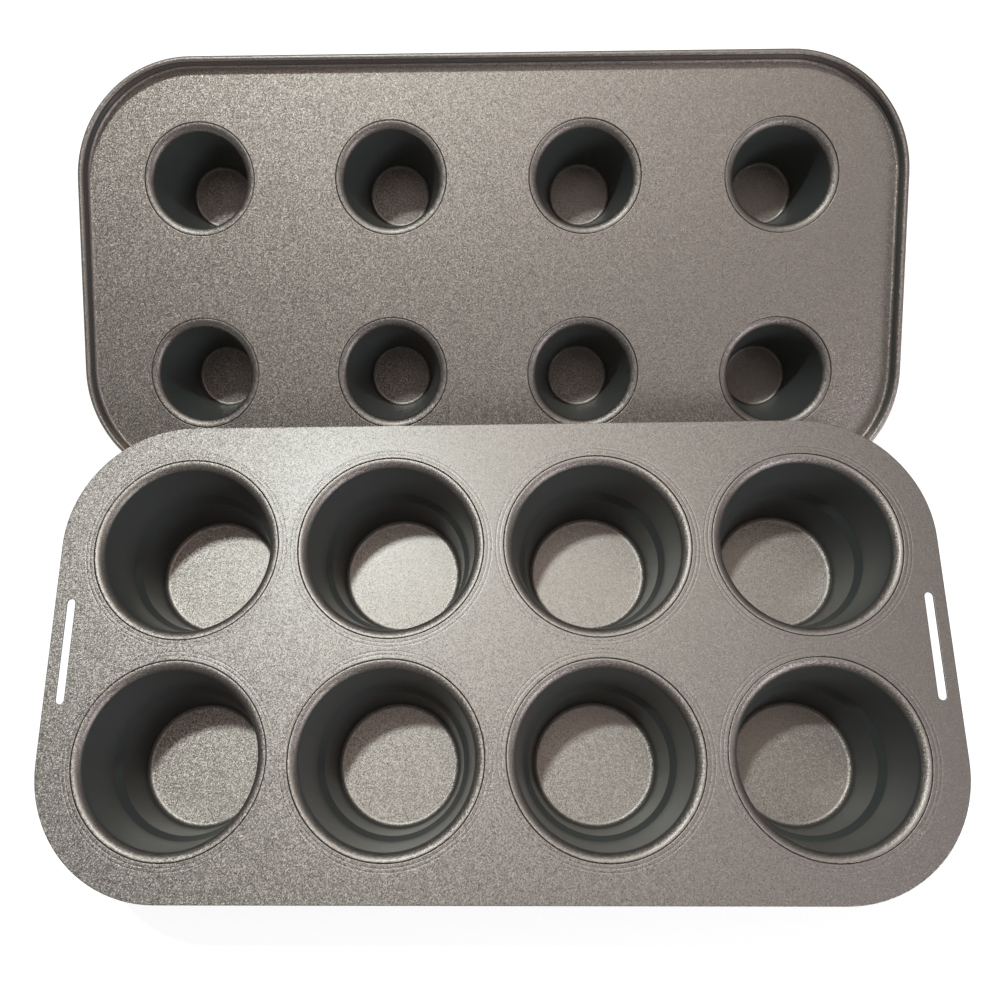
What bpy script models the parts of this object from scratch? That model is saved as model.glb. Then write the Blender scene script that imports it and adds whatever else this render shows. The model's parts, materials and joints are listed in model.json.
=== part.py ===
"""A cake cone pan in two parts, for baking cakes with a hollow middle.

The mould pan is a flat plate that carries eight stepped cups. The insert pan is a shallow tray
that carries eight narrow cones on the same grid, and its cones press the hollows into the batter.
Here the mould pan stands level on its cups, and the insert pan leans up behind it.

Every cup is a separate drawn shell. Its lip is turned down and hemmed round a collar that is
drawn from the hole in the plate, which leaves a fine seam round each mouth.

Units are metres, with +Z up. In each pan's own frame the top of its plate is the plane z = 0.
"""

import math
from collections import namedtuple

import bmesh
import bpy
from mathutils import Euler, Vector

# The grid of cups that both pans share
COLUMNS = 4
ROWS = 2
CUP_WEB = 0.0080            # plate left between two neighbouring holes of the mould pan

# Sheet metal, the same in both pans
PLATE_SHEET = 0.0008
CUP_SHEET = 0.0006

# The hemmed seam between a cup and its plate
SEAM_GAP = 0.0003           # clearance between the cup and the collar, all round
HOLE_EDGE_ROUND = 0.0006    # rounding where the plate turns down into the collar

# The mould pan's plate
MOULD_END_BORDER = 0.0135   # from the last hole to the short edge
MOULD_SIDE_BORDER = 0.0145  # from a hole to the long edge
MOULD_CORNER_RADIUS = 0.0510
SLOT_WIDTH = 0.0034         # hanging slot at each short edge
SLOT_LENGTH = 0.0420
SLOT_EDGE = 0.0065          # from the short edge to the slot's middle

# A cup of the mould pan
MOULD_HOLE_RADIUS = 0.0380
MOULD_COLLAR_DEPTH = 0.0040
MOULD_HEM_HEIGHT = 0.0016   # how far the hem comes up outside the collar
MOULD_LIP_WIDTH = 0.0037    # from the seam to the top of the wall
MOULD_LIP_DROP = 0.0042
MOULD_CUP_DEPTH = 0.0535
MOULD_WALL_SLOPE = math.radians(7.35)  # from upright
STEP_DEPTH = 0.0270         # from the plate to the start of the step in the wall
STEP_FALL = 0.0043
STEP_WIDTH = 0.0022
MOULD_BASE_ROUND = 0.0020
MOULD_BASE_WIDTH = 0.0014

# The insert pan's tray
TRAY_END_BORDER = 0.0278
TRAY_SIDE_BORDER = 0.0258
TRAY_CORNER_RADIUS = 0.0510
RIM_HEIGHT = 0.0046         # from the tray's floor to the middle of the rolled edge
RIM_BEAD_RADIUS = 0.0013
RIM_FILLET = 0.0014         # where the floor turns up into the rim

# A cone of the insert pan
INSERT_HOLE_RADIUS = 0.0242
INSERT_COLLAR_DEPTH = 0.0040
INSERT_HEM_HEIGHT = 0.0014
INSERT_LIP_WIDTH = 0.0034
INSERT_LIP_DROP = 0.0030
INSERT_CUP_DEPTH = 0.0390
INSERT_WALL_SLOPE = math.radians(10.2)
INSERT_BASE_ROUND = 0.0014
INSERT_BASE_WIDTH = 0.0008

# How the insert pan leans behind the mould pan
LEAN = math.radians(23.2)   # its far edge is up
TURN = math.radians(0.87)   # its right-hand end is turned a little towards the mould pan
LEAN_SHIFT = 0.0018         # its middle is this far to the left
REST_GAP = 0.0003           # between its rim and the mould pan's cups

# Facets
MOULD_SIDES = 20
MOULD_FIRST_CORNER = math.pi / MOULD_SIDES  # half a facet, so that flats face the plate's edges
INSERT_SIDES = 16
INSERT_FIRST_CORNER = 0     # so that the insert pan stands on a corner of each near cone
CORNER_STEPS = 8
SLOT_END_STEPS = 6
LIP_STEPS = 2
FILLET_STEPS = 2
BEAD_STEPS = 6
BEAD_TURN = math.radians(270)
SHARP_ANGLE = math.radians(30)
MERGE_DISTANCE = 0.00001

PITCH = 2 * MOULD_HOLE_RADIUS + CUP_WEB

Cup = namedtuple(
    "Cup", "hole collar hem lip_width lip_drop depth slope base_round base_width sides first_corner")

MOULD_CUP = Cup(
    MOULD_HOLE_RADIUS, MOULD_COLLAR_DEPTH, MOULD_HEM_HEIGHT, MOULD_LIP_WIDTH, MOULD_LIP_DROP,
    MOULD_CUP_DEPTH, MOULD_WALL_SLOPE, MOULD_BASE_ROUND, MOULD_BASE_WIDTH, MOULD_SIDES,
    MOULD_FIRST_CORNER)
INSERT_CUP = Cup(
    INSERT_HOLE_RADIUS, INSERT_COLLAR_DEPTH, INSERT_HEM_HEIGHT, INSERT_LIP_WIDTH, INSERT_LIP_DROP,
    INSERT_CUP_DEPTH, INSERT_WALL_SLOPE, INSERT_BASE_ROUND, INSERT_BASE_WIDTH, INSERT_SIDES,
    INSERT_FIRST_CORNER)


def clear_scene():
    """Start from an empty scene."""
    for old in list(bpy.data.objects):
        bpy.data.objects.remove(old, do_unlink=True)


def coating(name, colour, roughness, metallic):
    """Give the dark non-stick coating of one piece as a material."""
    material = bpy.data.materials.new(name)
    material.use_nodes = True
    shader = material.node_tree.nodes["Principled BSDF"]
    shader.inputs["Base Color"].default_value = (*colour, 1.0)
    shader.inputs["Roughness"].default_value = roughness
    shader.inputs["Metallic"].default_value = metallic
    return material


def grid_places():
    """Give each cup's row name, number in its row and place in the plate."""
    for row, row_name in enumerate(("near", "far")):
        for column in range(COLUMNS):
            x = (column - (COLUMNS - 1) / 2) * PITCH
            y = (row - (ROWS - 1) / 2) * PITCH
            yield row_name, column + 1, Vector((x, y, 0))


def circle(centre, radius, cup):
    """Give the points of a hole's edge, each with the direction to the hole's middle."""
    for step in range(cup.sides):
        angle = cup.first_corner + math.tau * step / cup.sides
        out = Vector((math.cos(angle), math.sin(angle), 0))
        yield centre + radius * out, -out


def rounded_rectangle(half_x, half_y, radius):
    """Give the points of a plate's outline, each with the direction away from the sheet."""
    for corner in range(4):
        middle = math.pi / 4 + corner * math.pi / 2
        arc_x = math.copysign(half_x - radius, math.cos(middle))
        arc_y = math.copysign(half_y - radius, math.sin(middle))
        for step in range(CORNER_STEPS + 1):
            angle = (corner + step / CORNER_STEPS) * math.pi / 2
            out = Vector((math.cos(angle), math.sin(angle), 0))
            yield Vector((arc_x, arc_y, 0)) + radius * out, out


def slot_edge(centre):
    """Give the points of a hanging slot, which has round ends, each with the way into the slot."""
    straight = (SLOT_LENGTH - SLOT_WIDTH) / 2
    for end in (1, -1):
        for step in range(SLOT_END_STEPS + 1):
            angle = step / SLOT_END_STEPS * math.pi
            out = end * Vector((math.cos(angle), math.sin(angle), 0))
            yield centre + Vector((0, end * straight, 0)) + SLOT_WIDTH / 2 * out, -out


def add_loop(mesh, free_way, points):
    """Add a closed loop of edges, and keep at each point the way its free edge faces."""
    verts = []
    for place, way in points:
        vert = mesh.verts.new(place)
        vert[free_way] = way
        verts.append(vert)
    return [mesh.edges.new((verts[i - 1], verts[i])) for i in range(len(verts))]


def turn_edge(mesh, free_way, edges, steps):
    """Draw a free edge of the sheet on, through steps of (sideways, upward)."""
    for sideways, upward in steps:
        made = bmesh.ops.extrude_edge_only(mesh, edges=edges)["geom"]
        verts = {item for item in made if isinstance(item, bmesh.types.BMVert)}
        edges = [item for item in made if isinstance(item, bmesh.types.BMEdge) and item.is_boundary]
        for vert in verts:
            vert.co += sideways * vert[free_way] + Vector((0, 0, upward))


def collar_steps(cup):
    """Turn a hole's edge down, rounded at the top, into a collar for the cup's hem."""
    yield HOLE_EDGE_ROUND, -HOLE_EDGE_ROUND
    yield 0, HOLE_EDGE_ROUND - cup.collar


def rim_steps():
    """Turn the tray's edge up through a fillet and a low wall, and roll it outward."""
    path = []
    for step in range(FILLET_STEPS + 1):
        angle = step / FILLET_STEPS * math.pi / 2
        path.append((RIM_FILLET * math.sin(angle), RIM_FILLET * (1 - math.cos(angle))))
    for step in range(BEAD_STEPS + 1):
        angle = math.pi - step * BEAD_TURN / BEAD_STEPS
        side = RIM_FILLET + RIM_BEAD_RADIUS * (1 + math.cos(angle))
        path.append((side, RIM_HEIGHT + RIM_BEAD_RADIUS * math.sin(angle)))
    for before, after in zip(path, path[1:]):
        yield after[0] - before[0], after[1] - before[1]


def sheet_piece(name, cup, outline, slots, edge_steps, material, pan, collection):
    """Make a plate: a flat sheet with a collar in each hole, and its edge turned if asked."""
    mesh = bmesh.new()
    free_way = mesh.verts.layers.float_vector.new("free_way")
    edge = add_loop(mesh, free_way, outline)
    holes = []
    for _, _, place in grid_places():
        holes.append(add_loop(mesh, free_way, circle(place, cup.hole + HOLE_EDGE_ROUND, cup)))
    for slot in slots:
        add_loop(mesh, free_way, slot)
    bmesh.ops.triangle_fill(mesh, edges=mesh.edges[:], use_beauty=True, normal=(0, 0, 1))
    for hole in holes:
        turn_edge(mesh, free_way, hole, collar_steps(cup))
    turn_edge(mesh, free_way, edge, edge_steps)
    bmesh.ops.recalc_face_normals(mesh, faces=mesh.faces[:])
    widest = max(mesh.faces, key=lambda face: face.calc_area())
    if widest.normal.z < 0:
        bmesh.ops.reverse_faces(mesh, faces=mesh.faces[:])
    data = bpy.data.meshes.new(name)
    mesh.to_mesh(data)
    mesh.free()
    data.shade_smooth()
    data.set_sharp_from_angle(angle=SHARP_ANGLE)
    piece = place_piece(name, data, material, pan, collection)
    thicken(piece, PLATE_SHEET, -1)
    return piece


def cup_profile(cup, step_points):
    """Give the drawn face of a cup, from its hem over the lip and down inside to the middle."""
    seam = cup.hole - SEAM_GAP
    hem = cup.hole + PLATE_SHEET + SEAM_GAP
    foot = -cup.collar - SEAM_GAP
    wall_top = seam - cup.lip_width
    points = [(hem, foot + cup.hem), (hem, foot), (seam, foot)]
    for step in range(LIP_STEPS + 1):
        angle = step / LIP_STEPS * math.pi / 2
        side = seam - cup.lip_width * math.sin(angle)
        points.append((side, -cup.lip_drop * (1 - math.cos(angle))))
    points += step_points(wall_top)
    last_radius, last_height = points[-1]
    wall_end = cup.base_round - cup.depth
    base = last_radius - math.tan(cup.slope) * (last_height - wall_end)
    points.append((base, wall_end))
    points.append((base - cup.base_width, -cup.depth))
    points.append((0, -cup.depth))
    return points


def mould_step(wall_top):
    """Give the two edges of the sloped step half-way down a mould cup's wall."""
    start = wall_top - math.tan(MOULD_WALL_SLOPE) * (STEP_DEPTH - MOULD_LIP_DROP)
    return [(start, -STEP_DEPTH), (start - STEP_WIDTH, -STEP_DEPTH - STEP_FALL)]


def plain_wall(_wall_top):
    """An insert cone's wall has no step."""
    return []


def profile_mesh(name, points):
    """Turn a profile's points into a mesh of edges, for a screw modifier."""
    data = bpy.data.meshes.new(name)
    edges = [(i, i + 1) for i in range(len(points) - 1)]
    data.from_pydata([(radius, 0, height) for radius, height in points], edges, [])
    return data


def cup_pieces(label, cup, points, material, pan, collection):
    """Make every cup of one pan, each a turned shell in its own place."""
    data = profile_mesh(label + "_profile", points)
    pieces = []
    for row, number, place in grid_places():
        piece = place_piece(f"{label}_{row}_{number}", data, material, pan, collection)
        piece.location = place
        piece.rotation_euler.z = cup.first_corner
        turn = piece.modifiers.new("Turn", 'SCREW')
        turn.axis = 'Z'
        turn.steps = cup.sides
        turn.render_steps = cup.sides
        turn.use_merge_vertices = True
        turn.merge_threshold = MERGE_DISTANCE
        turn.use_smooth_shade = True
        thicken(piece, CUP_SHEET, 1)
        pieces.append(piece)
    return pieces


def thicken(piece, thickness, side):
    """Give an open sheet its thickness, below its face (-1) or above it (1)."""
    shell = piece.modifiers.new("Sheet", 'SOLIDIFY')
    shell.thickness = thickness
    shell.offset = side
    shell.use_even_offset = True
    shell.use_quality_normals = True


def place_piece(name, data, material, pan, collection):
    """Make an object for one piece, in its pan's frame."""
    if not data.materials:
        data.materials.append(material)
    piece = bpy.data.objects.new(name, data)
    piece.parent = pan
    collection.objects.link(piece)
    return piece


def frame_empty(name, parent, collection):
    """Make an empty that holds a pan."""
    empty = bpy.data.objects.new(name, None)
    empty.empty_display_size = 0.02
    empty.parent = parent
    collection.objects.link(empty)
    return empty


def world_box(pieces):
    """Give the lowest and highest corners of some pieces as they stand."""
    bpy.context.view_layer.update()
    graph = bpy.context.evaluated_depsgraph_get()
    low = Vector((math.inf,) * 3)
    high = -low
    for piece in pieces:
        shown = piece.evaluated_get(graph)
        mesh = shown.to_mesh()
        for vert in mesh.vertices:
            place = shown.matrix_world @ vert.co
            low = Vector(map(min, low, place))
            high = Vector(map(max, high, place))
        shown.to_mesh_clear()
    return low, high


def radius_at(points, height):
    """Give a cup's inner radius at a height in its pan's frame, between the lip and the base."""
    wall = sorted(points[3 + LIP_STEPS:-1], key=lambda point: point[1])
    if height <= wall[0][1]:
        return wall[0][0]
    for (low_radius, low), (high_radius, high) in zip(wall, wall[1:]):
        if height <= high:
            return low_radius + (high_radius - low_radius) * (height - low) / (high - low)
    return wall[-1][0]


def lean_insert(insert_pan, insert_cups, mould_top, mould_points):
    """Stand the insert pan on its near cups, with its rim just clear of the mould pan's cups."""
    insert_pan.rotation_euler = Euler((LEAN, 0, -TURN), 'XYZ')
    insert_pan.location.x = -LEAN_SHIFT
    low, _ = world_box(insert_cups)
    insert_pan.location.z = -low.z
    half_y = PITCH / 2 + INSERT_HOLE_RADIUS + TRAY_SIDE_BORDER
    bead = insert_pan.rotation_euler.to_matrix() @ Vector((0, RIM_BEAD_RADIUS - half_y, RIM_HEIGHT))
    bead_height = insert_pan.location.z + bead.z + RIM_BEAD_RADIUS - mould_top
    reach = radius_at(mould_points, bead_height) + CUP_SHEET + REST_GAP + RIM_BEAD_RADIUS
    across = Vector((math.sin(TURN), math.cos(TURN), 0))
    farthest = max(across.dot(place) for _, _, place in grid_places())
    bead.x -= LEAN_SHIFT
    bead.z = 0
    insert_pan.location.y = (farthest + reach - across.dot(bead)) / across.y


def build():
    """Build both pans and stand them together."""
    clear_scene()
    collection = bpy.data.collections.new("cake_cone_pan")
    bpy.context.scene.collection.children.link(collection)
    root = frame_empty("pan_set", None, collection)
    mould_pan = frame_empty("mould_pan", root, collection)
    insert_pan = frame_empty("insert_pan", root, collection)

    plate_coat = coating("plate_coating", (0.30, 0.27, 0.25), 0.42, 0.75)
    cup_coat = coating("mould_cup_coating", (0.24, 0.22, 0.21), 0.34, 0.80)
    tray_coat = coating("tray_coating", (0.27, 0.24, 0.22), 0.42, 0.75)
    cone_coat = coating("insert_cup_coating", (0.20, 0.18, 0.17), 0.34, 0.80)

    half_x = (COLUMNS - 1) / 2 * PITCH + MOULD_HOLE_RADIUS + MOULD_END_BORDER
    half_y = (ROWS - 1) / 2 * PITCH + MOULD_HOLE_RADIUS + MOULD_SIDE_BORDER
    outline = rounded_rectangle(half_x, half_y, MOULD_CORNER_RADIUS)
    slots = [slot_edge(Vector((end * (half_x - SLOT_EDGE), 0, 0))) for end in (-1, 1)]
    plate = sheet_piece(
        "mould_plate", MOULD_CUP, outline, slots, (), plate_coat, mould_pan, collection)
    mould_points = cup_profile(MOULD_CUP, mould_step)
    mould_cups = cup_pieces("mould_cup", MOULD_CUP, mould_points, cup_coat, mould_pan, collection)

    turned = RIM_FILLET + 2 * RIM_BEAD_RADIUS
    half_x = (COLUMNS - 1) / 2 * PITCH + INSERT_HOLE_RADIUS + TRAY_END_BORDER
    half_y = (ROWS - 1) / 2 * PITCH + INSERT_HOLE_RADIUS + TRAY_SIDE_BORDER
    outline = rounded_rectangle(half_x - turned, half_y - turned, TRAY_CORNER_RADIUS - turned)
    tray = sheet_piece(
        "insert_tray", INSERT_CUP, outline, (), rim_steps(), tray_coat, insert_pan, collection)
    cone_points = cup_profile(INSERT_CUP, plain_wall)
    insert_cups = cup_pieces("insert_cup", INSERT_CUP, cone_points, cone_coat, insert_pan, collection)

    mould_pan.location.z = MOULD_CUP_DEPTH + CUP_SHEET
    lean_insert(insert_pan, insert_cups, mould_pan.location.z, mould_points)

    low, high = world_box([plate, tray, *mould_cups, *insert_cups])
    root.location = Vector((-(low.x + high.x) / 2, -(low.y + high.y) / 2, -low.z))
    bpy.context.view_layer.update()


build()
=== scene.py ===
"""A cake cone pan in two parts: a mould pan of stepped cups, and an insert pan of narrow cones.

Each piece is built here as a fine pressed-steel shell with its dark non-stick coating, in the place
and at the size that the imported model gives.
"""

import json
import math

import bmesh
import bpy
from mathutils import Euler, Matrix, Vector


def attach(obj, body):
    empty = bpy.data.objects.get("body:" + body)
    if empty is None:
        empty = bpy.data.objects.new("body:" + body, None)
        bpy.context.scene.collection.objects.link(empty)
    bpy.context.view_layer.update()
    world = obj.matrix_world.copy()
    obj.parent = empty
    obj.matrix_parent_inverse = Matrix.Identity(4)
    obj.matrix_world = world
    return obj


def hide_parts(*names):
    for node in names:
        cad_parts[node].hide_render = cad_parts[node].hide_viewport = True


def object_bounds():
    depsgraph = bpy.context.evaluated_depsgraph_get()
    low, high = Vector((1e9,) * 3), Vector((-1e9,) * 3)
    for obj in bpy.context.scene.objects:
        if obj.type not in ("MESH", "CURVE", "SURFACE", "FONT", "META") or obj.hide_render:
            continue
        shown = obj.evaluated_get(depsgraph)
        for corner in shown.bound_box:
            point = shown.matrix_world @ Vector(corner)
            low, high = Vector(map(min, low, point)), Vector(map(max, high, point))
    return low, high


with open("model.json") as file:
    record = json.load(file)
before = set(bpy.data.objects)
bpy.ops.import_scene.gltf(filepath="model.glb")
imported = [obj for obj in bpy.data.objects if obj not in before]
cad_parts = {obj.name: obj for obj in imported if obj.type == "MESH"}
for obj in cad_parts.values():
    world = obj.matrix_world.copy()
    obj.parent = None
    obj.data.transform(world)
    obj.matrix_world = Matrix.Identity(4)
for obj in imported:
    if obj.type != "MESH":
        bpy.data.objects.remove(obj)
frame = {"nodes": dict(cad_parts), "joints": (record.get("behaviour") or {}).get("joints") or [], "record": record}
cad_low, cad_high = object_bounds()
mounts = {mount["name"]: mount for mount in frame["record"]["mounts"]}

# Camera
# The pans are seen from above and a little in front, from hand height. The camera's place is given
# from the middle of the mould pan's plate.
CAMERA_PLACE = Vector((0.0036, -0.0613, 0.3832))
CAMERA_TURN = (16.91, 1.88, -0.06)
CAMERA_LENS = 35.21
CAMERA_SENSOR = 36.0
CAMERA_SHIFT = (0.0281, 0.0137)
CAMERA_NEAREST = 0.01

mould_top = Vector(mounts["mould_plate_top"]["pos_m"])
camera = bpy.data.objects.new("camera", bpy.data.cameras.new("camera"))
camera.data.sensor_width = CAMERA_SENSOR
camera.data.lens = CAMERA_LENS
camera.data.shift_x, camera.data.shift_y = CAMERA_SHIFT
camera.data.clip_start = CAMERA_NEAREST
camera.location = mould_top + CAMERA_PLACE
camera.rotation_euler = Euler([math.radians(angle) for angle in CAMERA_TURN])
bpy.context.collection.objects.link(camera)
bpy.context.scene.camera = camera

# Mould plate
# A flat sheet of carbon steel with round corners. A press cuts its two hanging slots and draws a
# collar down in each hole, and leaves two faint rings round it. It has a sprayed satin coating.
SHEET = 0.0008
COLLAR_DEPTH = 0.0040
HOLE_RADIUS = 0.0380
HOLE_ROUND = 0.00035  # where the plate turns down into a hole
FLAT_GUARD = 1.6  # the flat's last point before a hole's round edge, in radii of that edge
MOUTH_EDGE_RADIUS = 0.0418  # the filled flat stops here, and rings and collar go on from it
PRESSED_RING_RADII = (0.0412, 0.0397)
PRESSED_RING_WIDTH = 0.0009
PRESSED_RING_DEPTH = 0.00004
PLATE_CORNER = 0.0510
PLATE_EDGE_INSET = 0.0010  # a narrow strip along each cut edge keeps the shading of the flat even
STRIP_MIDDLE = 0.6
SLOT_WIDTH = 0.0034
SLOT_LENGTH = 0.0420
SLOT_EDGE = 0.0065  # from the short edge to the slot's middle
CUT_EDGE_ROUND = 0.00022
CUT_EDGE_STEPS = 2
CUT_EDGE_ANGLE = 50
SHARP_ANGLE = 40
CIRCLE_SIDES = 96
CORNER_STEPS = 24
SLOT_END_STEPS = 12
RING_STEPS = 8
HOLE_ROUND_STEPS = 6
ROWS = ("near", "far")
NUMBERS = (1, 2, 3, 4)

PLATE_COAT = (0.318, 0.272, 0.256)
PLATE_STEEP = 78  # the slope, in degrees, from which the colour is all painted wall shade, with no flakes
SHADE_FADE = 4
FLAKES_PER_METRE = 3000
FLAKE_CONTRAST = 0.30
FLAKE_ROUGHNESS = 0.51
FLAKE_TILT = 0.27
FLAT_GLOSS = 0.6
GLOSS_ROUGHNESS = 0.30
GLOSS_IOR = 1.4
# Painted shade: the dark colour that the steep walls take, in place of the shade that falls on them
WALL_SHADE_COLOUR = (0.092, 0.098, 0.096)
WALL_ROUGHNESS = 0.33
WALL_METAL = 0.15

mould_pan = Matrix.Translation(mould_top)


def box_in_pan(pan, node):
    """Give a node's lowest and highest corners in its pan's own frame."""
    seen = [pan.inverted() @ vert.co for vert in frame["nodes"][node].data.vertices]
    low = Vector([min(place[axis] for place in seen) for axis in range(3)])
    high = Vector([max(place[axis] for place in seen) for axis in range(3)])
    return low, high


def cup_middle(node):
    """Give the middle of a mould cup's mouth in the pan's frame."""
    low, high = box_in_pan(mould_pan, node)
    return Vector(((low.x + high.x) / 2, (low.y + high.y) / 2, 0))


def lay_loop(sheet, free_way, points):
    """Lay a closed loop of edges, and keep at each point the way its free edge faces."""
    verts = []
    for place, way in points:
        vert = sheet.verts.new(place)
        vert[free_way] = way
        verts.append(vert)
    return [sheet.edges.new((verts[i - 1], verts[i])) for i in range(len(verts))]


def draw_edge(sheet, free_way, edges, path):
    """Draw a free edge of the sheet on, along a path of (sideways, upward) places."""
    for before, after in zip(path, path[1:]):
        made = bmesh.ops.extrude_edge_only(sheet, edges=edges)["geom"]
        edges = [item for item in made if isinstance(item, bmesh.types.BMEdge) and item.is_boundary]
        for vert in {item for item in made if isinstance(item, bmesh.types.BMVert)}:
            vert.co += (after[0] - before[0]) * vert[free_way]
            vert.co.z += after[1] - before[1]


def mouth_loop(middle, radius):
    """Give the loop round a cup's mouth, where the flat of the plate stops."""
    for step in range(CIRCLE_SIDES):
        angle = math.tau * step / CIRCLE_SIDES
        out = Vector((math.cos(angle), math.sin(angle), 0))
        yield middle + radius * out, -out


def outline_loop(half_x, half_y, corner):
    """Give a plate's outline with its four round corners."""
    for number in range(4):
        middle = (number + 0.5) * math.pi / 2
        arc_x = math.copysign(half_x - corner, math.cos(middle))
        arc_y = math.copysign(half_y - corner, math.sin(middle))
        for step in range(CORNER_STEPS + 1):
            angle = (number + step / CORNER_STEPS) * math.pi / 2
            out = Vector((math.cos(angle), math.sin(angle), 0))
            yield Vector((arc_x, arc_y, 0)) + corner * out, out


def slot_loop(middle, half_width, half_length):
    """Give a hanging slot's outline, which has round ends."""
    for end in (1, -1):
        for step in range(SLOT_END_STEPS + 1):
            angle = step / SLOT_END_STEPS * math.pi
            out = end * Vector((math.cos(angle), math.sin(angle), 0))
            yield middle + Vector((0, end * (half_length - half_width), 0)) + half_width * out, -out


def arc(middle, radius, start, stop, steps):
    """Give points on an arc, from one angle in degrees to another."""
    for step in range(steps + 1):
        angle = math.radians(start + (stop - start) * step / steps)
        yield middle[0] + radius * math.cos(angle), middle[1] + radius * math.sin(angle)


def collar_path(mouth, hole, edge_round, depth, rings=()):
    """Give the way from the flat, across the rings, over the hole's edge and down the collar."""
    path = [(0, 0)]
    for middle in rings:
        for step in range(RING_STEPS + 1):
            share = step / RING_STEPS
            side = mouth - middle + (share - 0.5) * PRESSED_RING_WIDTH
            path.append((side, -PRESSED_RING_DEPTH * (1 - math.cos(share * math.tau)) / 2))
    path.append((mouth - hole - edge_round * FLAT_GUARD, 0))
    path += arc((mouth - hole - edge_round, -edge_round), edge_round, 90, 0, HOLE_ROUND_STEPS)
    path.append((mouth - hole, -depth))
    return path


def nonstick_coat(name, colour, steep, seed):
    """Make the non-stick coating: metal flakes on the flats, and on the steep walls a dull coat whose dark colour
    is painted shade.
    """
    coat = bpy.data.materials.new(name)
    coat.use_nodes = True
    nodes = coat.node_tree.nodes
    links = coat.node_tree.links
    shader = nodes["Principled BSDF"]
    place = nodes.new("ShaderNodeTexCoord")
    shift = nodes.new("ShaderNodeMapping")
    shift.inputs["Location"].default_value = (seed, 2 * seed, 3 * seed)
    links.new(place.outputs["Object"], shift.inputs["Vector"])

    # Each flake is one small cell with a tone of its own
    flakes = nodes.new("ShaderNodeTexVoronoi")
    flakes.inputs["Scale"].default_value = FLAKES_PER_METRE
    links.new(shift.outputs["Vector"], flakes.inputs["Vector"])
    flake = nodes.new("ShaderNodeSeparateColor")
    links.new(flakes.outputs["Color"], flake.inputs["Color"])

    # The flats count fully and the steep walls not at all; that share gives the walls painted shade in their
    # colour, as well as less metal and gloss
    facing = nodes.new("ShaderNodeSeparateXYZ")
    links.new(place.outputs["Normal"], facing.inputs["Vector"])
    level = nodes.new("ShaderNodeMath")
    level.operation = 'ABSOLUTE'
    links.new(facing.outputs["Z"], level.inputs[0])
    flatness_and_shade = nodes.new("ShaderNodeMapRange")
    flatness_and_shade.inputs["From Min"].default_value = math.cos(math.radians(steep))
    flatness_and_shade.inputs["From Max"].default_value = math.cos(math.radians(steep - SHADE_FADE))
    links.new(level.outputs[0], flatness_and_shade.inputs["Value"])

    # The colour goes from the dark painted shade of the walls to the flat's colour, and the flakes are lighter and
    # darker than it
    speckle = nodes.new("ShaderNodeMath")
    speckle.operation = 'MULTIPLY'
    speckle.inputs[1].default_value = FLAKE_CONTRAST
    links.new(flatness_and_shade.outputs["Result"], speckle.inputs[0])
    offset = nodes.new("ShaderNodeMapRange")
    offset.inputs["To Min"].default_value = -1
    links.new(flake.outputs["Red"], offset.inputs["Value"])
    tone = nodes.new("ShaderNodeMath")
    tone.operation = 'MULTIPLY_ADD'
    tone.inputs[2].default_value = 1
    links.new(offset.outputs["Result"], tone.inputs[0])
    links.new(speckle.outputs[0], tone.inputs[1])
    # This mix paints shade onto the steep walls
    body = nodes.new("ShaderNodeMix")
    body.data_type = 'RGBA'
    body.inputs["A"].default_value = (*WALL_SHADE_COLOUR, 1)
    body.inputs["B"].default_value = (*colour, 1)
    links.new(flatness_and_shade.outputs["Result"], body.inputs["Factor"])
    paint = nodes.new("ShaderNodeVectorMath")
    paint.operation = 'SCALE'
    links.new(body.outputs["Result"], paint.inputs["Vector"])
    links.new(tone.outputs[0], paint.inputs["Scale"])
    links.new(paint.outputs["Vector"], shader.inputs["Base Color"])

    # The flats are metal under a thin clear gloss, and the walls are mostly binder
    metal = nodes.new("ShaderNodeMapRange")
    metal.inputs["To Min"].default_value = WALL_METAL
    links.new(flatness_and_shade.outputs["Result"], metal.inputs["Value"])
    links.new(metal.outputs["Result"], shader.inputs["Metallic"])
    satin = nodes.new("ShaderNodeMapRange")
    satin.inputs["To Min"].default_value = WALL_ROUGHNESS
    satin.inputs["To Max"].default_value = FLAKE_ROUGHNESS
    links.new(flatness_and_shade.outputs["Result"], satin.inputs["Value"])
    links.new(satin.outputs["Result"], shader.inputs["Roughness"])
    gloss = nodes.new("ShaderNodeMath")
    gloss.operation = 'MULTIPLY'
    gloss.inputs[1].default_value = FLAT_GLOSS
    links.new(flatness_and_shade.outputs["Result"], gloss.inputs[0])
    links.new(gloss.outputs[0], shader.inputs["Coat Weight"])
    shader.inputs["Coat Roughness"].default_value = GLOSS_ROUGHNESS
    shader.inputs["Coat IOR"].default_value = GLOSS_IOR

    # The flakes lie at slightly different tilts, so under one lamp some shine and some don't
    lean = nodes.new("ShaderNodeMath")
    lean.operation = 'MULTIPLY'
    lean.inputs[1].default_value = FLAKE_TILT
    links.new(flatness_and_shade.outputs["Result"], lean.inputs[0])
    either_way = nodes.new("ShaderNodeVectorMath")
    either_way.operation = 'SUBTRACT'
    either_way.inputs[1].default_value = (0.5, 0.5, 0.5)
    links.new(flakes.outputs["Color"], either_way.inputs[0])
    tilt = nodes.new("ShaderNodeVectorMath")
    tilt.operation = 'SCALE'
    links.new(either_way.outputs["Vector"], tilt.inputs["Vector"])
    links.new(lean.outputs[0], tilt.inputs["Scale"])
    surface = nodes.new("ShaderNodeNewGeometry")
    tilted = nodes.new("ShaderNodeVectorMath")
    tilted.operation = 'ADD'
    links.new(surface.outputs["Normal"], tilted.inputs[0])
    links.new(tilt.outputs["Vector"], tilted.inputs[1])
    links.new(tilted.outputs["Vector"], shader.inputs["Normal"])
    return coat


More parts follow.
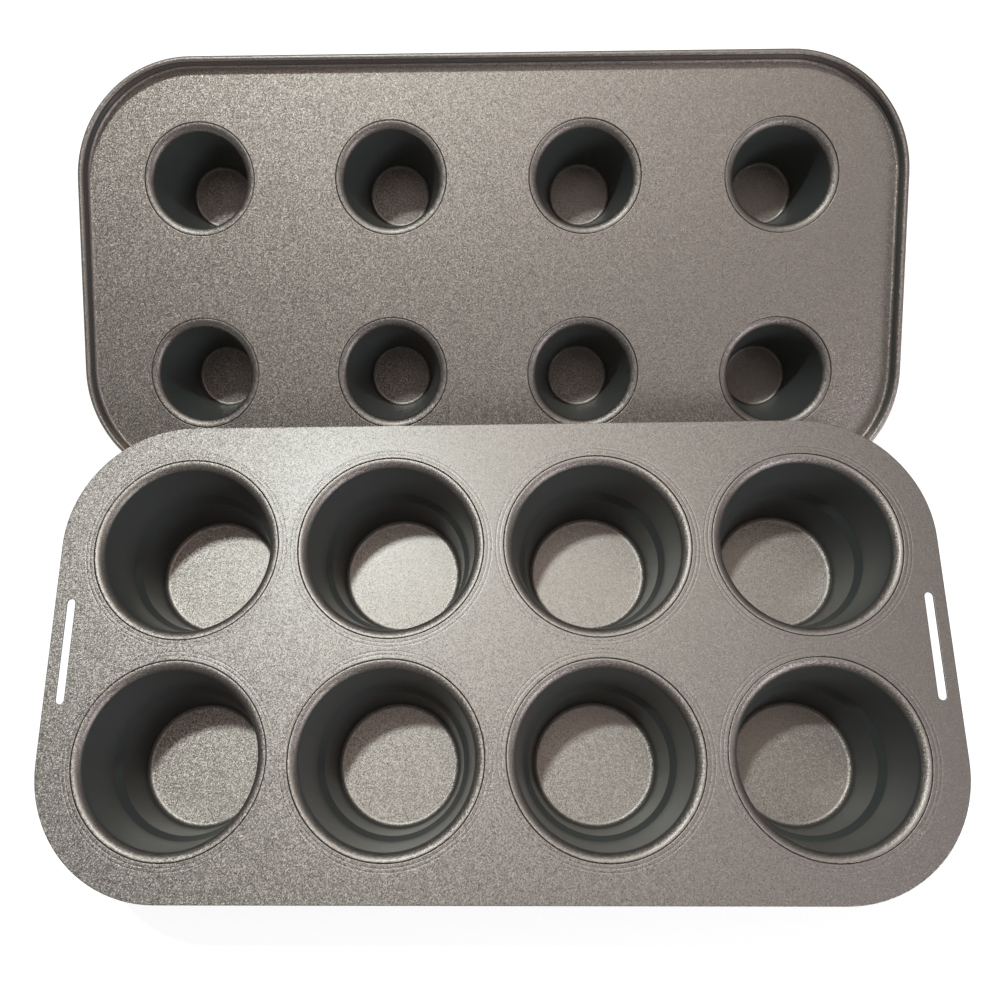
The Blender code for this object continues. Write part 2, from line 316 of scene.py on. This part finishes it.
def thicken(piece, thickness, side):
    """Give an open sheet its thickness, behind its face (-1) or before it (1)."""
    shell = piece.modifiers.new("Sheet", 'SOLIDIFY')
    shell.thickness = thickness
    shell.offset = side
    shell.use_even_offset = True
    shell.use_quality_normals = True


def pressed_sheet(name, pan, loops, coat):
    """Fill the flat of a plate between its loops, and draw each loop on along its path."""
    sheet = bmesh.new()
    free_way = sheet.verts.layers.float_vector.new("free_way")
    drawn = [(lay_loop(sheet, free_way, loop), path) for loop, path in loops]
    bmesh.ops.triangle_fill(sheet, edges=sheet.edges[:], use_beauty=True, normal=(0, 0, 1))
    for edges, path in drawn:
        draw_edge(sheet, free_way, edges, path)
    bmesh.ops.recalc_face_normals(sheet, faces=sheet.faces[:])
    if max(sheet.faces, key=lambda face: face.calc_area()).normal.z < 0:
        bmesh.ops.reverse_faces(sheet, faces=sheet.faces[:])
    data = bpy.data.meshes.new(name)
    sheet.to_mesh(data)
    sheet.free()
    data.attributes.remove(data.attributes["free_way"])
    data.transform(pan)
    data.shade_smooth()
    data.set_sharp_from_angle(angle=math.radians(SHARP_ANGLE))
    data.materials.append(coat)
    piece = bpy.data.objects.new(name, data)
    bpy.context.collection.objects.link(piece)
    thicken(piece, SHEET, -1)
    return piece


cup_places = {
    (row, number): cup_middle(f"mould_cup_{row}_{number}") for row in ROWS for number in NUMBERS}
_, plate_high = box_in_pan(mould_pan, "mould_plate")
mouth_path = collar_path(MOUTH_EDGE_RADIUS, HOLE_RADIUS, HOLE_ROUND, COLLAR_DEPTH, PRESSED_RING_RADII)
edge_path = [(0, 0), (PLATE_EDGE_INSET * STRIP_MIDDLE, 0), (PLATE_EDGE_INSET, 0)]
plate_outline = outline_loop(
    plate_high.x - PLATE_EDGE_INSET, plate_high.y - PLATE_EDGE_INSET, PLATE_CORNER - PLATE_EDGE_INSET)
loops = [(plate_outline, edge_path)]
for end in (-1, 1):
    slot_middle = Vector((end * (plate_high.x - SLOT_EDGE), 0, 0))
    slot = slot_loop(
        slot_middle, SLOT_WIDTH / 2 + PLATE_EDGE_INSET, SLOT_LENGTH / 2 + PLATE_EDGE_INSET)
    loops.append((slot, edge_path))
for middle in cup_places.values():
    loops.append((mouth_loop(middle, MOUTH_EDGE_RADIUS), mouth_path))
plate_coat = nonstick_coat("mould_plate_coat", PLATE_COAT, PLATE_STEEP, seed=1)
mould_plate = pressed_sheet("mould_plate_sheet", mould_pan, loops, plate_coat)
cut_edge = mould_plate.modifiers.new("Cut edge", 'BEVEL')
cut_edge.width = CUT_EDGE_ROUND
cut_edge.segments = CUT_EDGE_STEPS
cut_edge.limit_method = 'ANGLE'
cut_edge.angle_limit = math.radians(CUT_EDGE_ANGLE)
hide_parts("mould_plate")
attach(mould_plate, "mould_pan")

# Mould cups
# Eight steel cups, each deep drawn with a sloped step half-way down. The lip is rolled over and its
# edge is hemmed round the plate's collar, which leaves the fine dark seam round the mouth.
CUP_SHEET = 0.0006
SEAM_GAP = 0.00012
FOLD_ROUND = 0.0003
HEM_HEIGHT = 0.0016
LIP_WIDTH = 0.0039  # from the seam to the top of the wall
LIP_DROP = 0.0042
LIP_EDGE_ROUND = 0.0003
LIP_SINK = 0.00025  # the lip's crown lies this far below the plate
WALL_TAPER = 0.129  # inward for each metre down
STEP_DEPTH = 0.0270
STEP_FALL = 0.0043
STEP_WIDTH = 0.0022
STEP_TOP_ROUND = 0.0030
STEP_FOOT_ROUND = 0.0008
CUP_BASE_ROUND = 0.0022
ROUND_STEP_ANGLE = 9
LIP_STEPS = 12
LIP_EDGE_STEPS = 5
GUARD_REACH = 0.0004
LEAST_GUARDED = 0.0016
MERGE_DISTANCE = 0.00001
# Painted light: the cups have the plate's coating, made lighter than it to paint more light into the cups
CUP_COAT_LIGHTENED = (0.368, 0.314, 0.290)
# From this slope on, the cups' colour is all painted wall shade
CUP_STEEP = 62


def rounded_profile(corners):
    """Turn corners of (radius, height, round) into a profile with an arc at each round corner."""
    profile = []
    for i, (side, height, corner) in enumerate(corners):
        here = Vector((side, height))
        if corner == 0:
            profile.append(here)
            continue
        back = (Vector(corners[i - 1][:2]) - here).normalized()
        onward = (Vector(corners[i + 1][:2]) - here).normalized()
        half = back.angle(onward) / 2
        reach = corner / math.tan(half)
        middle = here + (back + onward).normalized() * corner / math.sin(half)
        first = here + back * reach - middle
        sweep = first.angle_signed(here + onward * reach - middle)
        steps = max(2, math.ceil(abs(math.degrees(sweep)) / ROUND_STEP_ANGLE))
        for step in range(steps + 1):
            turn = Matrix.Rotation(-sweep * step / steps, 2)
            profile.append(middle + turn @ first)
    return profile


def with_guards(profile):
    """Add a point near each end of a long straight, so that its shading stays flat."""
    guarded = [profile[0]]
    for before, after in zip(profile, profile[1:]):
        along = after - before
        if along.length > LEAST_GUARDED:
            inward = along.normalized() * GUARD_REACH
            guarded += [before + inward, after - inward]
        guarded.append(after)
    return guarded


def hem_and_lip(hole, collar, hem, lip_width, lip_drop, taper):
    """Give the corners from the hem's free edge, round the collar, up the seam and over the lip."""
    seam = hole - SEAM_GAP
    outside = hole + SHEET + SEAM_GAP
    foot = -collar - SEAM_GAP
    crown = seam - LIP_EDGE_ROUND
    run = lip_width - LIP_EDGE_ROUND
    corners = [(outside, foot + hem, 0), (outside, foot, FOLD_ROUND), (seam, foot, FOLD_ROUND)]
    edge = arc((crown, -LIP_SINK - LIP_EDGE_ROUND), LIP_EDGE_ROUND, 0, 90, LIP_EDGE_STEPS)
    corners += [(side, height, 0) for side, height in edge]
    last = 90 - math.degrees(math.atan(taper))
    for step in range(1, LIP_STEPS + 1):
        angle = math.radians(last * step / LIP_STEPS)
        height = -LIP_SINK - (lip_drop - LIP_SINK) * (1 - math.cos(angle))
        corners.append((crown - run * math.sin(angle), height, 0))
    return corners


def turned_cup(name, pan, place, corners, coat):
    """Turn a cup's profile round its middle, and give the shell its thickness."""
    profile = with_guards(rounded_profile(corners))
    data = bpy.data.meshes.new(name)
    edges = [(i, i + 1) for i in range(len(profile) - 1)]
    data.from_pydata([(side, 0, height) for side, height in profile], edges, [])
    data.materials.append(coat)
    piece = bpy.data.objects.new(name, data)
    bpy.context.collection.objects.link(piece)
    piece.matrix_world = pan @ Matrix.Translation(place)
    turn = piece.modifiers.new("Turn", 'SCREW')
    turn.steps = CIRCLE_SIDES
    turn.render_steps = CIRCLE_SIDES
    turn.use_merge_vertices = True
    turn.merge_threshold = MERGE_DISTANCE
    turn.use_smooth_shade = True
    thicken(piece, CUP_SHEET, 1)
    return piece


cup_low, _ = box_in_pan(mould_pan, "mould_cup_near_1")
cup_depth = -cup_low.z - CUP_SHEET
wall_top = HOLE_RADIUS - SEAM_GAP - LIP_WIDTH
step_top = wall_top - WALL_TAPER * (STEP_DEPTH - LIP_DROP)
step_end = STEP_DEPTH + STEP_FALL
base_radius = step_top - STEP_WIDTH - WALL_TAPER * (cup_depth - step_end)
cup_corners = hem_and_lip(HOLE_RADIUS, COLLAR_DEPTH, HEM_HEIGHT, LIP_WIDTH, LIP_DROP, WALL_TAPER)
cup_corners += [
    (step_top, -STEP_DEPTH, STEP_TOP_ROUND),
    (step_top - STEP_WIDTH, -step_end, STEP_FOOT_ROUND),
    (base_radius, -cup_depth, CUP_BASE_ROUND),
    (0, -cup_depth, 0),
]
cup_coat = nonstick_coat("mould_cup_coat", CUP_COAT_LIGHTENED, CUP_STEEP, seed=2)
for (row, number), place in cup_places.items():
    cup = turned_cup(f"mould_cup_shell_{row}_{number}", mould_pan, place, cup_corners, cup_coat)
    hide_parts(f"mould_cup_{row}_{number}")
    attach(cup, "mould_pan")

# Insert tray
# The insert pan's plate is the same steel, pressed into a shallow tray. Its low wall goes all round
# and ends in an edge rolled outward, and each of its holes has a collar drawn down.
TRAY_HOLE_RADIUS = 0.0242
TRAY_COLLAR_DEPTH = 0.0040
TRAY_MOUTH_EDGE = 0.0262
TRAY_CORNER = 0.0510
RIM_HEIGHT = 0.0045  # from the tray's floor to the middle of the rolled edge
RIM_GUARD = 0.7  # the wall's last point before the roll, as a share of that height
RIM_BEAD_RADIUS = 0.0013
RIM_FILLET = 0.0014
RIM_INSIDE_BOX = 0.0001
FILLET_STEPS = 8
BEAD_STEPS = 24
# Painted light: the tray has the plate's coating, made lighter than it to paint the light on the tilted tray
TRAY_COAT_LIGHTENED = (0.355, 0.299, 0.276)

slope = Vector(frame["joints"][0]["axis"])
underside = mounts["insert_tray_underside"]
up = -Vector(underside["axis"]).normalized()
across = slope.cross(up).normalized()
slope = up.cross(across)
insert_pan = Matrix((across, slope, up)).transposed().to_4x4()
insert_pan.translation = Vector(underside["pos_m"]) + SHEET * up

_, tray_high = box_in_pan(insert_pan, "insert_tray")
rim_reach = 2 * RIM_BEAD_RADIUS + RIM_FILLET + PLATE_EDGE_INSET + RIM_INSIDE_BOX
rim_path = [(0, 0), (PLATE_EDGE_INSET * STRIP_MIDDLE, 0)]
rim_path += arc((PLATE_EDGE_INSET, RIM_FILLET), RIM_FILLET, -90, 0, FILLET_STEPS)
rim_path.append((PLATE_EDGE_INSET + RIM_FILLET, RIM_HEIGHT * RIM_GUARD))
bead_middle = (PLATE_EDGE_INSET + RIM_FILLET + RIM_BEAD_RADIUS, RIM_HEIGHT)
rim_path += arc(bead_middle, RIM_BEAD_RADIUS, 180, -90, BEAD_STEPS)
tray_outline = outline_loop(
    tray_high.x - rim_reach, tray_high.y - rim_reach, TRAY_CORNER - rim_reach)
loops = [(tray_outline, rim_path)]
tray_mouth_path = collar_path(TRAY_MOUTH_EDGE, TRAY_HOLE_RADIUS, HOLE_ROUND, TRAY_COLLAR_DEPTH)
for middle in cup_places.values():
    loops.append((mouth_loop(middle, TRAY_MOUTH_EDGE), tray_mouth_path))
tray_coat = nonstick_coat("insert_tray_coat", TRAY_COAT_LIGHTENED, PLATE_STEEP, seed=3)
insert_tray = pressed_sheet("insert_tray_sheet", insert_pan, loops, tray_coat)
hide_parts("insert_tray")
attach(insert_tray, "insert_pan")

# Insert cups
# Eight narrow steel cones, drawn without a step, on the same grid as the mould cups. They hang in the
# batter and shape the hollows. Each is hemmed into its hole in the same way.
CONE_HEM_HEIGHT = 0.0014
CONE_LIP_WIDTH = 0.0036
CONE_LIP_DROP = 0.0030
CONE_TAPER = 0.180
CONE_BASE_ROUND = 0.0016
# Painted shade: the cones have the plate's coating, made darker than it to paint the shade inside them
CONE_COAT_DARKENED = (0.290, 0.246, 0.226)
# From this slope on, the cones' colour is all painted wall shade
CONE_STEEP = 76

cone_low, _ = box_in_pan(insert_pan, "insert_cup_near_1")
cone_depth = -cone_low.z - CUP_SHEET
cone_top = TRAY_HOLE_RADIUS - SEAM_GAP - CONE_LIP_WIDTH
cone_corners = hem_and_lip(
    TRAY_HOLE_RADIUS, TRAY_COLLAR_DEPTH, CONE_HEM_HEIGHT, CONE_LIP_WIDTH, CONE_LIP_DROP, CONE_TAPER)
cone_base_radius = cone_top - CONE_TAPER * (cone_depth - CONE_LIP_DROP)
cone_corners += [(cone_base_radius, -cone_depth, CONE_BASE_ROUND), (0, -cone_depth, 0)]
cone_coat = nonstick_coat("insert_cup_coat", CONE_COAT_DARKENED, CONE_STEEP, seed=4)
for (row, number), place in cup_places.items():
    cone = turned_cup(f"insert_cup_shell_{row}_{number}", insert_pan, place, cone_corners, cone_coat)
    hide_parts(f"insert_cup_{row}_{number}")
    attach(cone, "insert_pan")

# Floor and light
# A plain white floor that glows a little, as a light table does. One lamp hangs beyond the pans on
# the left, a wide soft panel hangs over them, and a weak fill and a pale sky light the rest.
LAMP_PLACE = Vector((-0.400, 0.705, 2.0))
LAMP_SIZE = 0.11
LAMP_POWER = 20.5
LAMP_TINT = (0.86, 1.0, 0.97)
PANEL_PLACE = Vector((0.1, 0.45, 2.0))
PANEL_SIZE = 1.2
PANEL_POWER = 6.2
PANEL_TINT = (1.0, 0.91, 0.83)
FILL_PLACE = Vector((1.0, -0.8, 0.65))
FILL_SIZE = 0.5
FILL_POWER = 7.0
FILL_TINT = (0.92, 0.95, 1.0)
SKY_TINT = (1.0, 0.97, 0.94)
SKY_STRENGTH = 0.14
FLOOR_REACH = 3.0
FLOOR_DROP = 0.0002
FLOOR_WHITE = 0.50
FLOOR_ROUGHNESS = 0.9
FLOOR_GLOW = 0.80


def soft_light(name, place, size, power, tint):
    """Hang a square light that faces the pans."""
    lamp = bpy.data.lights.new(name, 'AREA')
    lamp.shape = 'SQUARE'
    lamp.size = size
    lamp.energy = power
    lamp.color = tint
    light = bpy.data.objects.new(name, lamp)
    light.location = mould_top + place
    light.rotation_euler = (-place).to_track_quat('-Z', 'Y').to_euler()
    bpy.context.collection.objects.link(light)


soft_light("lamp", LAMP_PLACE, LAMP_SIZE, LAMP_POWER, LAMP_TINT)
soft_light("panel", PANEL_PLACE, PANEL_SIZE, PANEL_POWER, PANEL_TINT)
soft_light("fill", FILL_PLACE, FILL_SIZE, FILL_POWER, FILL_TINT)
sky = bpy.data.worlds.new("sky")
bpy.context.scene.world = sky
sky.use_nodes = True
sky.node_tree.nodes["Background"].inputs["Color"].default_value = (*SKY_TINT, 1)
sky.node_tree.nodes["Background"].inputs["Strength"].default_value = SKY_STRENGTH

floor_data = bpy.data.meshes.new("floor")
floor_sheet = bmesh.new()
bmesh.ops.create_grid(floor_sheet, x_segments=1, y_segments=1, size=FLOOR_REACH)
floor_sheet.to_mesh(floor_data)
floor_sheet.free()
floor = bpy.data.objects.new("floor", floor_data)
floor.location.z = cad_low.z - FLOOR_DROP
bpy.context.collection.objects.link(floor)
white = bpy.data.materials.new("white_floor")
white.use_nodes = True
white_shader = white.node_tree.nodes["Principled BSDF"]
white_shader.inputs["Base Color"].default_value = (FLOOR_WHITE, FLOOR_WHITE, FLOOR_WHITE, 1)
white_shader.inputs["Roughness"].default_value = FLOOR_ROUGHNESS
white_shader.inputs["Emission Color"].default_value = (1, 1, 1, 1)
white_shader.inputs["Emission Strength"].default_value = FLOOR_GLOW
floor_data.materials.append(white)
bpy.context.scene.view_settings.view_transform = 'Standard'
